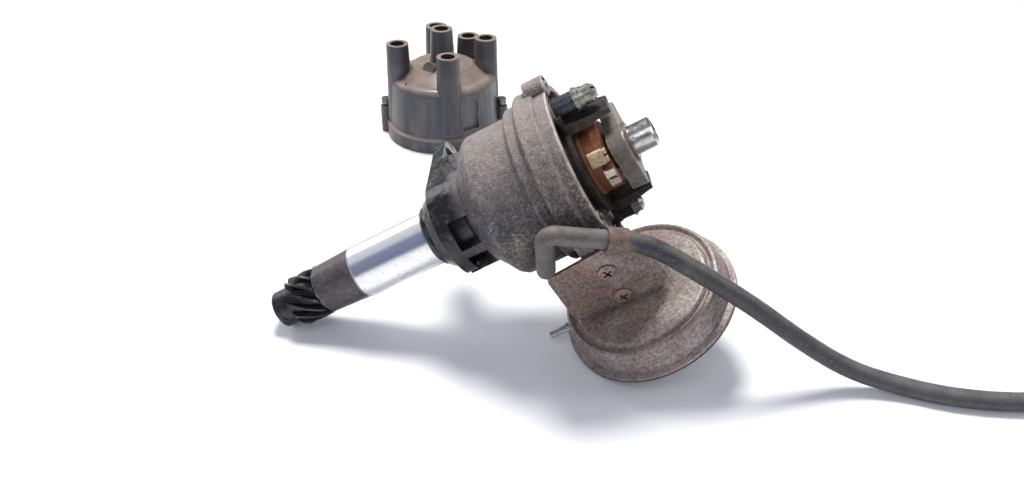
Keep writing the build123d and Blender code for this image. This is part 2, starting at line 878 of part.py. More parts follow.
with BuildPart() as stator_screws:
    for side, spacer, washer, head in stacks:
        screw_line = Axis(station(0, side).from_local_coords(Vector(screw_r_at, 0, 0)), shaft_dir)
        head_s = pole_s + spacer + washer
        with BuildSketch(half_section(side)):
            with BuildLine():
                Polyline(
                    (screw_r_at, stator_s + 0.2),
                    (screw_r_at + pickup_screw_r, stator_s + 0.2),
                    (screw_r_at + pickup_screw_r, head_s),
                    (screw_r_at + screw_head_r, head_s),
                    (screw_r_at + screw_head_r, head_s + head * 0.6),
                    (screw_r_at + screw_head_r * 0.6, head_s + head),
                    (screw_r_at, head_s + head),
                    close=True,
                )
            make_face()
        revolve(axis=screw_line)
        with BuildSketch(station(head_s + head, side)):
            with Locations((screw_r_at, 0)):
                Rectangle(2 * screw_head_r, cross_w, rotation=30)
        extrude(amount=-1.5, mode=Mode.SUBTRACT)
pieces["stator_screws"] = stator_screws

# Base plate screws on the seat
plate_screw_circle = base_r - 3.2
with BuildPart() as plate_screws:
    for side in (20, 140, 310):
        with BuildSketch(station(base_top, side)):
            with Locations((plate_screw_circle + 1.0, 0)):
                Circle(1.5)
        extrude(amount=1.6)
pieces["plate_screws"] = plate_screws

# ---------------------------------------------------------------- vacuum unit
face_top = can_face_h
rim_half = can_rim_t / 2
turned(
    "vacuum_front_shell",
    [
        (rod_r + running, face_top - shell_t),
        (can_groove_r - 1.6, face_top - shell_t),
        (can_groove_r - 0.6, can_groove_h - shell_t),
        (can_face_r, can_groove_h - shell_t),
        (can_bead_r - 0.8, can_bead_h - shell_t - 0.3),
        (can_waist_r - 1.3, can_waist_h),
        (can_waist_r - 1.0, rim_half - 0.6),
        (can_r - 1.4, 0.4),
        (can_r - 1.4, 0),
        (can_r, 0),
        (can_r, rim_half - 0.4),
        (can_r - 1.0, rim_half),
        (can_waist_r + 0.3, rim_half + 0.5),
        (can_waist_r, can_waist_h),
        (can_bead_r + 0.6, can_bead_h - 2.0),
        (can_bead_r, can_bead_h - 0.5),
        (can_bead_r - 1.2, can_bead_h),
        (can_face_r + 0.2, can_groove_h),
        (can_groove_r, can_groove_h),
        (can_groove_r - 1.2, face_top - 0.4),
        (can_groove_r - 2.2, face_top),
        (can_neck_r, face_top),
        (can_neck_r, face_top + can_neck_h),
        (rod_r + running, face_top + can_neck_h),
    ],
    can_section,
    can_axis,
)
with BuildPart() as vacuum_front_shell:
    add(pieces["vacuum_front_shell"].part)
    with BuildSketch(Plane(origin=can_centre + rod_dir * nipple_h, x_dir=rod_dir, z_dir=-shaft_dir)):
        Circle(nipple_root_r)
    extrude(amount=can_waist_r + 1, mode=Mode.SUBTRACT)
pieces["vacuum_front_shell"] = vacuum_front_shell
nipple_seat = can_bead_r - 1.6
with BuildPart() as vacuum_nipple:
    for start, end, outer in (
        (nipple_seat, can_waist_r + 1, nipple_root_r),
        (can_waist_r + 1, can_waist_r + nipple_len, nipple_r),
    ):
        with BuildSketch(
            Plane(
                origin=can_centre + rod_dir * nipple_h - shaft_dir * start,
                x_dir=rod_dir,
                z_dir=-shaft_dir,
            )
        ):
            Circle(outer)
            Circle(nipple_bore, mode=Mode.SUBTRACT)
        extrude(amount=end - start)
pieces["vacuum_nipple"] = vacuum_nipple

turned(
    "vacuum_back_shell",
    [
        (0, -can_back_h),
        (can_face_r * 0.42, -can_back_h),
        (can_face_r * 0.7, -can_back_h + 3.2),
        (can_r - 5.5, -rim_half - 1.6),
        (can_r - 3.5, -rim_half),
        (can_r - 0.6, -rim_half),
        (can_r, -rim_half + 0.6),
        (can_r, -0.8),
        (can_r - 4.2, -0.8),
        (can_face_r * 0.7 - 0.4, -can_back_h + 4.6),
        (can_face_r * 0.42, -can_back_h + shell_t),
        (0, -can_back_h + shell_t),
    ],
    can_section,
    can_axis,
)

membrane_t = 0.8
plate_dish_r = can_face_r * 0.62
turned(
    "diaphragm",
    [
        (rod_r, -membrane_t),
        (can_r - 1.4, -membrane_t),
        (can_r - 1.4, 0),
        (rod_r, 0),
    ],
    can_section,
    can_axis,
)
turned(
    "diaphragm_cup",
    [
        (rod_r, 0),
        (plate_dish_r, 0),
        (plate_dish_r, 1.0),
        (rod_r, 1.0),
    ],
    can_section,
    can_axis,
)
vac_spring_r = plate_dish_r - 3
turned(
    "diaphragm_spring",
    [
        (vac_spring_r - 1.6, 1.0),
        (vac_spring_r, 1.0),
        (vac_spring_r, face_top - shell_t),
        (vac_spring_r - 1.6, face_top - shell_t),
    ],
    can_section,
    can_axis,
)

# Rod: round through the can's neck, then stepped up to a flat end over the plate's pin
flat_t = 1.6
flat_level = advance_top + gap
flat_w = 2 * rod_r + 1.6
step_n = -30.0
rod_eye_r = 3.0
step_len = 4.0
with BuildPart() as vacuum_rod:
    with BuildSketch(can_plane(-3)):
        Circle(rod_r)
    extrude(amount=vac_drop + step_n + 3 + step_len / 2)
    with BuildSketch(station(vac_station - rod_r, vac_angle)):
        with Locations((step_n + step_len / 2, vac_offset)):
            Rectangle(step_len, 2 * rod_r)
    extrude(amount=flat_level + flat_t - vac_station + rod_r)
    with BuildSketch(station(flat_level, vac_angle)):
        with Locations(((step_n + rod_pin_n) / 2, vac_offset)):
            Rectangle(rod_pin_n - step_n, flat_w)
        with Locations((rod_pin_n, vac_offset)):
            Circle(rod_eye_r)
            SlotOverall(2 * (rod_pin_r + gap) + 0.5, 2 * (rod_pin_r + gap), rotation=90, mode=Mode.SUBTRACT)
    extrude(amount=flat_t)
pieces["vacuum_rod"] = vacuum_rod

# Bracket: a plate on the lug's face with a foot on the can
with BuildPart() as vacuum_bracket:
    with BuildSketch(side_plane(bracket_side)) as plate_outline:
        with BuildLine():
            Polyline(
                (131.8, -17.8),
                (131.6, foot_n + screw_above_foot - 0.9),
                (138.5, foot_n),
                (173.7, foot_n),
                (179.6, -45.5),
                (177.0, -21.0),
                (164.0, -14.5),
                close=True,
            )
        make_face()
        fillet(plate_outline.vertices(), 3.0)
        with Locations((lug_station, -screw_near), (lug_station, -screw_far)):
            Circle(bracket_screw_r + slip, mode=Mode.SUBTRACT)
    extrude(amount=bracket_t)
    with BuildSketch(can_plane(face_top)):
        with Locations((foot_shift, vac_offset - (bracket_side + foot_inner) / 2 - bracket_t / 2)):
            RectangleRounded(foot_len, bracket_side - foot_inner + bracket_t, 3)
        Circle(can_neck_r + slip, mode=Mode.SUBTRACT)
    extrude(amount=bracket_t)
pieces["vacuum_bracket"] = vacuum_bracket

with BuildPart() as bracket_screws:
    for drop in (screw_near, screw_far):
        screw_foot = vac_point(-drop, bracket_side - 8, lug_station)
        screw_plane = Plane(origin=screw_foot, x_dir=rod_dir, z_dir=rod_dir.cross(side_dir))
        with BuildSketch(screw_plane):
            with BuildLine():
                Polyline(
                    (0, 0),
                    (bracket_screw_r, 0),
                    (bracket_screw_r, 8 + bracket_t),
                    (bracket_head_r, 8 + bracket_t),
                    (bracket_head_r, 8 + bracket_t + bracket_head_h * 0.5),
                    (bracket_head_r * 0.6, 8 + bracket_t + bracket_head_h),
                    (0, 8 + bracket_t + bracket_head_h),
                    close=True,
                )
            make_face()
        revolve(axis=Axis(screw_foot, side_dir))
        cross_plane_top = side_plane(bracket_side + bracket_t + bracket_head_h)
        with BuildSketch(cross_plane_top):
            with Locations((lug_station, -drop)):
                Rectangle(cross_len, cross_w, rotation=25)
                Rectangle(cross_len, cross_w, rotation=115)
        extrude(amount=-bracket_head_h, mode=Mode.SUBTRACT)
pieces["bracket_screws"] = bracket_screws

# ---------------------------------------------------------------- lead
# Moulded elbow from the bowl's front wall, over the rim, to where the free lead starts.
lead_mouth = vac_point(mouth_n, lead_side, mouth_s)
lead_toward = vac_point(mouth_n - 8.5, lead_side - 0.2, mouth_s + 9.5)
boot_route = [
    vac_point(boot_n, 27, boot_s),
    vac_point(boot_n, 42, boot_s),
    lead_mouth - (lead_toward - lead_mouth).normalized() * 8,
    lead_mouth,
]
with BuildPart() as lead_boot:
    with BuildLine():
        FilletPolyline(*boot_route, radius=[boot_elbow_r, boot_bend_r])
    with BuildSketch(Plane(origin=boot_route[0], z_dir=side_dir)):
        Circle(boot_r)
    sweep()
pieces["lead_boot"] = lead_boot

# Free lead: out of the elbow, under the clip, past the can and down to the bench
lead_rest = lead_d / 2 + 0.1
lead_route = [
    lead_mouth,
    lead_toward,
    vac_point(-16.0, lead_side - 2.2, 179.5),
    Vector(86.0, -145.5, 60.0),
    Vector(112.0, -147.0, 43.0),
    Vector(137.0, -149.0, 24.0),
    Vector(160.0, -150.5, 9.5),
    Vector(182.0, -155.0, lead_rest),
    Vector(203.0, -163.0, lead_rest),
    Vector(230.0, -166.5, lead_rest),
    Vector(256.0, -165.5, lead_rest),
]


def bend_radii(route):
    """Radius of each bend: 0.45 of the shorter run beside it, over the tangent of half the turn."""
    runs = [b - a for a, b in zip(route, route[1:])]
    return [
        0.45 * min(a.length, b.length) / tan(radians(a.get_angle(b)) / 2)
        for a, b in zip(runs, runs[1:])
    ]


lead_radii = bend_radii(lead_route)
print("lead bend radii, mm:", [round(r, 1) for r in lead_radii])
with BuildPart() as pickup_lead:
    with BuildLine() as lead_line:
        FilletPolyline(*lead_route, radius=lead_radii)
    with BuildSketch(Plane(origin=lead_route[0], z_dir=lead_line.line % 0)):
        Circle(lead_d / 2)
    sweep()
pieces["pickup_lead"] = pickup_lead
lead_length = lead_line.wire().length
section_length = pi * lead_d**2 / 4 * lead_length
print("lead length, mm:", round(lead_length, 1))
print("lead volume against section times length:", round(pickup_lead.part.volume / section_length, 4))

# Two-way plug on the lead's end
plug_dir = (lead_route[-1] - lead_route[-2]).normalized()
plug_frame = Plane(origin=lead_route[-1], x_dir=plug_dir.cross(Vector(0, 0, 1)), z_dir=plug_dir)
plug_w = 15.0
plug_h = 8.4
plug_len = 24.0
with BuildPart() as lead_plug:
    with BuildSketch(plug_frame):
        RectangleRounded(plug_w - 4, plug_h - 0.4, 2)
    with BuildSketch(plug_frame.offset(5)):
        RectangleRounded(plug_w, plug_h, 1.5)
    loft()
    with BuildSketch(plug_frame.offset(5)):
        RectangleRounded(plug_w, plug_h, 1.5)
    extrude(amount=plug_len - 5)
    with BuildSketch(plug_frame.offset(plug_len)):
        with Locations((3.4, 0), (-3.4, 0)):
            Rectangle(5, 5)
    extrude(amount=-11, mode=Mode.SUBTRACT)
pieces["lead_plug"] = lead_plug

with BuildPart() as plug_pins:
    with BuildSketch(plug_frame.offset(plug_len - 11)):
        with Locations((3.4, 0), (-3.4, 0)):
            Rectangle(2.8, 0.8)
    extrude(amount=9)
pieces["plug_pins"] = plug_pins

# Strap clip round the lead, its foot flat on the bracket
clip_at = lead_route[1] * 0.55 + lead_route[2] * 0.45
clip_dir = (lead_route[2] - lead_route[1]).normalized()
clip_x = (side_dir - clip_dir * side_dir.dot(clip_dir)).normalized()
clip_frame = Plane(origin=clip_at, x_dir=clip_x, z_dir=clip_dir)
with BuildPart() as lead_clip:
    with BuildSketch(clip_frame.offset(-clip_w / 2)):
        Circle(lead_d / 2 + gap + clip_t)
        Circle(lead_d / 2 + gap, mode=Mode.SUBTRACT)
    extrude(amount=clip_w)
    clip_foot = side_plane(bracket_side + bracket_t)
    clip_spot = clip_foot.to_local_coords(clip_at)
    with BuildSketch(clip_foot):
        with BuildLine():
            Polyline(
                (clip_spot.X - 6, clip_spot.Y - 1),
                (clip_spot.X + 2, clip_spot.Y + 3),
                (clip_spot.X + 2, clip_spot.Y - 6),
                (clip_spot.X - 3, clip_spot.Y - 14),
                (clip_spot.X - 9, clip_spot.Y - 11),
                close=True,
            )
        make_face()
    extrude(amount=clip_t)
    with BuildSketch(clip_frame.offset(-clip_w)):
        Circle(lead_d / 2 + gap)
    extrude(amount=2 * clip_w, mode=Mode.SUBTRACT)
pieces["lead_clip"] = lead_clip

# ---------------------------------------------------------------- cap
cap_inner = cap_shoulder_r - cap_wall
with BuildPart() as cap_body:
    with BuildSketch(cap_section):
        with BuildLine():
            outside = [
                (cap_r, 0),
                (cap_r, cap_skirt),
                (cap_wall_r, cap_skirt + 1.2),
                (cap_shoulder_r, cap_shoulder_z),
            ]
            Polyline((0, 0), *outside)
            shoulder = TangentArc(outside[-1], (cap_shoulder_r - 6, cap_shoulder_z + 5.0), tangent=(-0.1, 1))
            Polyline(shoulder @ 1, (cap_dome_r, cap_dome_z), (0, cap_dome_z + 1), (0, 0))
        make_face()
    revolve(axis=cap_axis)
    # Towers: four round the outside, one in the middle and a low one between two of them
    tower_spots = [(tower_circle, tower_turn + 90 * k, tower_top) for k in range(4)]
    small_spot = (tower_circle, tower_turn + 135, small_top)
    centre_spot = (0, 0, centre_top)
    for circle, angle, top in [*tower_spots, small_spot, centre_spot]:
        start = tower_start if top == tower_top else cap_dome_z - 9
        spot = Vector(circle * cos(radians(angle)), circle * sin(radians(angle)), 0)
        with BuildSketch(cap_frame.offset(start)):
            with Locations(spot):
                Circle(tower_r + tower_taper)
        with BuildSketch(cap_frame.offset(top)):
            with Locations(spot):
                Circle(tower_r)
        loft()
    # Inside
    with BuildSketch(cap_section):
        with BuildLine():
            Polyline(
                (0, -1),
                (cap_wall_r - cap_wall, -1),
                (cap_inner, cap_shoulder_z - 2),
                (cap_inner - 5, cap_shoulder_z + 2),
                (cap_dome_r - 2, cap_dome_z - 4),
                (0, cap_dome_z - 4),
                close=True,
            )
        make_face()
    revolve(axis=cap_axis, mode=Mode.SUBTRACT)
    for circle, angle, top in [*tower_spots, small_spot, centre_spot]:
        spot = Vector(circle * cos(radians(angle)), circle * sin(radians(angle)), 0)
        with BuildSketch(cap_frame.offset(top)):
            with Locations(spot):
                Circle(tower_bore)
        extrude(amount=-socket_depth, mode=Mode.SUBTRACT)
        with BuildSketch(cap_frame.offset(top)):
            with Locations(spot):
                Circle(terminal_r)
        extrude(amount=-tower_bore_depth, mode=Mode.SUBTRACT)
    # Screw ears at the sides
    ear_spots = [(ear_circle, 0), (-ear_circle, 0)]
    with BuildSketch(cap_frame):
        with Locations(*ear_spots):
            Circle(cap_ear_r)
    extrude(amount=cap_ear_h)
    with BuildSketch(cap_frame.offset(cap_ear_h)):
        with Locations(*ear_spots):
            Circle(cap_head_r + 2 * slip)
    extrude(amount=40, mode=Mode.SUBTRACT)
    with BuildSketch(cap_frame.offset(-1)):
        with Locations(*ear_spots):
            Circle(cap_screw_r + slip)
    extrude(amount=30, mode=Mode.SUBTRACT)
    # Holes for the plug electrodes and the brush
    for circle, angle, top in tower_spots:
        spot = Vector(circle * cos(radians(angle)), circle * sin(radians(angle)), 0)
        with BuildSketch(cap_frame.offset(top - tower_bore_depth + 1)):
            with Locations(spot):
                Circle(electrode_r)
        extrude(amount=-30, mode=Mode.SUBTRACT)
    with BuildSketch(cap_frame.offset(centre_top - tower_bore_depth + 1)):
        Circle(brush_r + slip)
    extrude(amount=-30, mode=Mode.SUBTRACT)
    # Pocket in the wall between two towers, and the vent boss on the dome
    pocket_turn = tower_turn + 22
    pocket_dir = Vector(cos(radians(pocket_turn)), sin(radians(pocket_turn)), 0)
    with BuildSketch(
        Plane(origin=cap_centre + pocket_dir * (cap_wall_r - 2.6), x_dir=(0, 0, 1), z_dir=pocket_dir)
    ):
        with Locations((pocket_low + pocket_rise / 2, 0)):
            Rectangle(pocket_rise, pocket_w)
        with Locations((pocket_low + pocket_rise, 0)):
            Circle(pocket_w / 2)
    extrude(amount=8, mode=Mode.SUBTRACT)
    dimple_dir = Vector(-0.45, -0.45, 0.77).normalized()
    with BuildSketch(Plane(origin=cap_centre + Vector(-20.5, -20.5, 41.5), z_dir=dimple_dir)):
        Circle(2.6)
    extrude(amount=4, mode=Mode.SUBTRACT)
    vent_dir = Vector(-0.5, -0.75, 0.45).normalized()
    with BuildSketch(Plane(origin=cap_centre + Vector(-3, -6, 45), z_dir=vent_dir)):
        Circle(4.2)
    extrude(amount=11)
pieces["cap_body"] = cap_body

with BuildPart() as cap_terminals:
    for circle, angle, top in [*tower_spots, centre_spot]:
        spot = Vector(circle * cos(radians(angle)), circle * sin(radians(angle)), 0)
        seat = top - tower_bore_depth
        stem_r = electrode_r if circle else brush_r
        stem = electrode_len if circle else 3.0
        with BuildSketch(cap_frame.offset(seat)):
            with Locations(spot):
                Circle(terminal_r)
                Circle(terminal_r - 0.8, mode=Mode.SUBTRACT)
        extrude(amount=tower_bore_depth - socket_depth - 0.5)
        with BuildSketch(cap_frame.offset(seat + 1.5)):
            with Locations(spot):
                Circle(stem_r)
                Circle(terminal_r - 0.8)
        extrude(amount=-1.5)
        with BuildSketch(cap_frame.offset(seat)):
            with Locations(spot):
                Circle(stem_r)
        extrude(amount=-stem)
pieces["cap_terminals"] = cap_terminals

brush_top = centre_top - tower_bore_depth - 3.0 - 5.0
with BuildPart() as brush_spring:
    with BuildSketch(cap_frame.offset(brush_top)):
        Circle(brush_r - 0.2)
        Circle(brush_r - 0.8, mode=Mode.SUBTRACT)
    extrude(amount=5.0)
pieces["brush_spring"] = brush_spring

with BuildPart() as carbon_brush:
    with BuildSketch(cap_frame.offset(brush_top)):
        Circle(brush_r)
    extrude(amount=-9.0)
pieces["carbon_brush"] = carbon_brush

with BuildPart() as cap_screws:
    for x, y in ear_spots:
        with BuildSketch(cap_frame.offset(0.5)):
            with Locations((x, y)):
                Circle(cap_screw_r - slip)
        extrude(amount=cap_screw_len)
        with BuildSketch(cap_frame.offset(0.5 + cap_screw_len)):
            with Locations((x, y)):
                Circle(cap_head_r)
        extrude(amount=cap_head_h)
pieces["cap_screws"] = cap_screws

# ---------------------------------------------------------------- files
for name, piece in pieces.items():
    piece.part.label = name
    export_step(piece.part, f"parts/{name}.step")
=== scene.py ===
from math import cos, pi, radians, sin

import bpy
from mathutils import Euler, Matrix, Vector


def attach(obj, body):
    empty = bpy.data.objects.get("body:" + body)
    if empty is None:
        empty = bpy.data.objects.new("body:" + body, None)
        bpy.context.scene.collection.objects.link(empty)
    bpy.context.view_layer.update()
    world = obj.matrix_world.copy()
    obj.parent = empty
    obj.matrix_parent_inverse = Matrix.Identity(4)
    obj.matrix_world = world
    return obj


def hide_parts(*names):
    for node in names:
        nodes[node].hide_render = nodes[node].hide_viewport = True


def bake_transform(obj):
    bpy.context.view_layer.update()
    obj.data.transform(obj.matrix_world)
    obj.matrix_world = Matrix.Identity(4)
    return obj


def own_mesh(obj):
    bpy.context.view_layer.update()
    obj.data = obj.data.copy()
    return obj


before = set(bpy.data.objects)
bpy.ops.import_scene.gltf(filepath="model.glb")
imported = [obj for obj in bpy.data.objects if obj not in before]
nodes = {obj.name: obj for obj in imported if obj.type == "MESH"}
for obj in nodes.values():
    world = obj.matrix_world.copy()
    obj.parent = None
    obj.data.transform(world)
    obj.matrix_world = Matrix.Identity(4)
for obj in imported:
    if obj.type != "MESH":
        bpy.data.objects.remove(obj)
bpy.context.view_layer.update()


# ---------------------------------------------------------------- frame of the shaft (metres)
TILT = radians(29.07)  # rise of the shaft line above the bench
SHAFT = Vector((cos(TILT), 0, sin(TILT)))
UPWARD = Vector((-sin(TILT), 0, cos(TILT)))
AWAY = Vector((0, 1, 0))
GEAR_END = Vector((-0.10589, -0.10258, 0.0091 * cos(TILT)))


def spoke(angle):
    """Direction square to the shaft, some radians round it from the one away from the camera."""
    return AWAY * cos(angle) + UPWARD * sin(angle)


VAC_ANGLE = radians(103.46)
ROD = spoke(VAC_ANGLE)  # from the vacuum can to the bowl
SIDE = spoke(VAC_ANGLE + pi / 2)


def vac_point(n, m, s):
    """Point n along the rod direction, m to the side, at station s, in millimetres."""
    return GEAR_END + (ROD * n + SIDE * m + SHAFT * s) / 1000


def shaft_point(s, angle, radius):
    """Point at station s, some degrees round the shaft and away from it, in millimetres."""
    return GEAR_END + (SHAFT * s + spoke(radians(angle)) * radius) / 1000


def show(name, data):
    """New object in the scene."""
    obj = bpy.data.objects.new(name, data)
    bpy.context.scene.collection.objects.link(obj)
    return obj


# ---------------------------------------------------------------- node tree helper
class Tree:
    """A material's node tree, built by short calls."""

    def __init__(self, name):
        self.mat = bpy.data.materials.new(name)
        self.mat.use_nodes = True
        self.tree = self.mat.node_tree
        self.tree.nodes.clear()
        self.out = self.add("OutputMaterial")
        self.bsdf = self.add("BsdfPrincipled")
        self.link(self.bsdf.outputs[0], self.out.inputs[0])
        self.place = self.add("TexCoord").outputs["Object"]

    def add(self, kind):
        return self.tree.nodes.new("ShaderNode" + kind)

    def link(self, source, socket):
        self.tree.links.new(source, socket)

    def put(self, socket, value):
        if isinstance(value, bpy.types.NodeSocket):
            self.link(value, socket)
        else:
            socket.default_value = value

    def noise(self, scale, detail=4.0, rough=0.55, place=None, warp=0.0):
        n = self.add("TexNoise")
        n.inputs["Scale"].default_value = scale
        n.inputs["Detail"].default_value = detail
        n.inputs["Roughness"].default_value = rough
        n.inputs["Distortion"].default_value = warp
        self.link(place or self.place, n.inputs["Vector"])
        return n.outputs["Fac"]

    def stretch(self, scale, turn=(0, 0, 0)):
        n = self.add("Mapping")
        n.inputs["Scale"].default_value = scale
        n.inputs["Rotation"].default_value = turn
        self.link(self.place, n.inputs["Vector"])
        return n.outputs[0]

    def ramp(self, fac, stops):
        """Grey levels or colours at the given places from 0 to 1."""
        n = self.add("ValToRGB")
        elements = n.color_ramp.elements
        while len(elements) < len(stops):
            elements.new(0.5)
        for e, (at, c) in zip(elements, stops):
            e.position = at
            e.color = (c, c, c, 1) if isinstance(c, (int, float)) else (*c, 1)
        self.link(fac, n.inputs[0])
        return n.outputs[0]

    def spots(self, stops, scale, detail=4.0, rough=0.55, warp=0.0):
        """Noise drawn out to patches by a ramp."""
        return self.ramp(self.noise(scale, detail, rough, warp=warp), stops)

    def streaks(self, stops, detail, rough, scale, turn=(0, 0, 0)):
        """Patches of noise drawn out to different lengths along the three axes."""
        return self.ramp(self.noise(1.0, detail, rough, self.stretch(scale, turn)), stops)

    def mix(self, fac, a, b, kind="MIX"):
        n = self.add("Mix")
        n.data_type = "RGBA"
        n.blend_type = kind
        self.put(n.inputs[0], fac)
        colours = [s for s in n.inputs if s.type == "RGBA"]
        for s, v in zip(colours, (a, b)):
            self.put(s, v if isinstance(v, bpy.types.NodeSocket) else (*v, 1))
        return [s for s in n.outputs if s.type == "RGBA"][0]

    def math(self, op, a, b=0.0):
        n = self.add("Math")
        n.operation = op
        self.put(n.inputs[0], a)
        self.put(n.inputs[1], b)
        return n.outputs[0]

    def times(self, a, b):
        return self.math("MULTIPLY", a, b)

    def vector_math(self, op, a, b=None):
        n = self.add("VectorMath")
        n.operation = op
        self.put(n.inputs[0], a)
        if b is not None:
            self.put(n.inputs[1], b)
        return n.outputs

    def rescale(self, value, low, high):
        """0 to 1 as a value goes from low to high."""
        n = self.add("MapRange")
        self.link(value, n.inputs["Value"])
        n.inputs["From Min"].default_value = low
        n.inputs["From Max"].default_value = high
        return n.outputs[0]

    def along(self, direction, origin, low, high):
        """0 to 1 as the point goes from low to high metres along a direction."""
        shift = self.vector_math("SUBTRACT", self.place, origin)[0]
        return self.rescale(self.vector_math("DOT_PRODUCT", shift, direction)["Value"], low, high)

    def off_axis(self, direction, low, high):
        """0 to 1 as the point goes from low to high metres off an axis through the origin."""
        part = self.vector_math("DOT_PRODUCT", self.place, direction)["Value"]
        length = self.vector_math("LENGTH", self.place)["Value"]
        square = self.math("SUBTRACT", self.math("POWER", length, 2.0),
                           self.math("POWER", part, 2.0))
        return self.rescale(self.math("SQRT", square), low, high)

    def normal(self):
        return self.add("NewGeometry").outputs["Normal"]

    def facing(self, direction, low, high):
        """0 to 1 as the surface turns towards a fixed direction."""
        dot = self.vector_math("DOT_PRODUCT", self.normal(), direction)["Value"]
        return self.rescale(dot, low, high)

    def edges(self, low, high, radius=0.0012):
        """1 on the edges of the shape, from the angle between bevelled and plain normal."""
        bevel = self.add("Bevel")
        bevel.samples = 4
        bevel.inputs["Radius"].default_value = radius
        dot = self.vector_math("DOT_PRODUCT", bevel.outputs[0], self.normal())["Value"]
        return self.ramp(dot, [(low, 1.0), (high, 0.0)])

    def crevice_shade(self, distance=0.006, low=0.25, high=0.85):
        """1 in the hollows and corners of the shape, from ambient occlusion; it masks painted shade
        there.
        """
        n = self.add("AmbientOcclusion")
        n.samples = 8
        n.inputs["Distance"].default_value = distance
        return self.ramp(n.outputs["AO"], [(low, 1.0), (high, 0.0)])

    def bump(self, height, strength, distance):
        n = self.add("Bump")
        n.inputs["Strength"].default_value = strength
        n.inputs["Distance"].default_value = distance
        self.link(height, n.inputs["Height"])
        self.link(n.outputs[0], self.bsdf.inputs["Normal"])

    def surface(self, colour, rough, metallic=0.0):
        if not isinstance(colour, bpy.types.NodeSocket):
            colour = (*colour, 1)
        self.put(self.bsdf.inputs["Base Color"], colour)
        self.put(self.bsdf.inputs["Roughness"], rough)
        self.put(self.bsdf.inputs["Metallic"], metallic)
        return self.mat


UP = (0, 0, 1)
TO_CAMERA_LOW = (0.30, -0.80, -0.45)


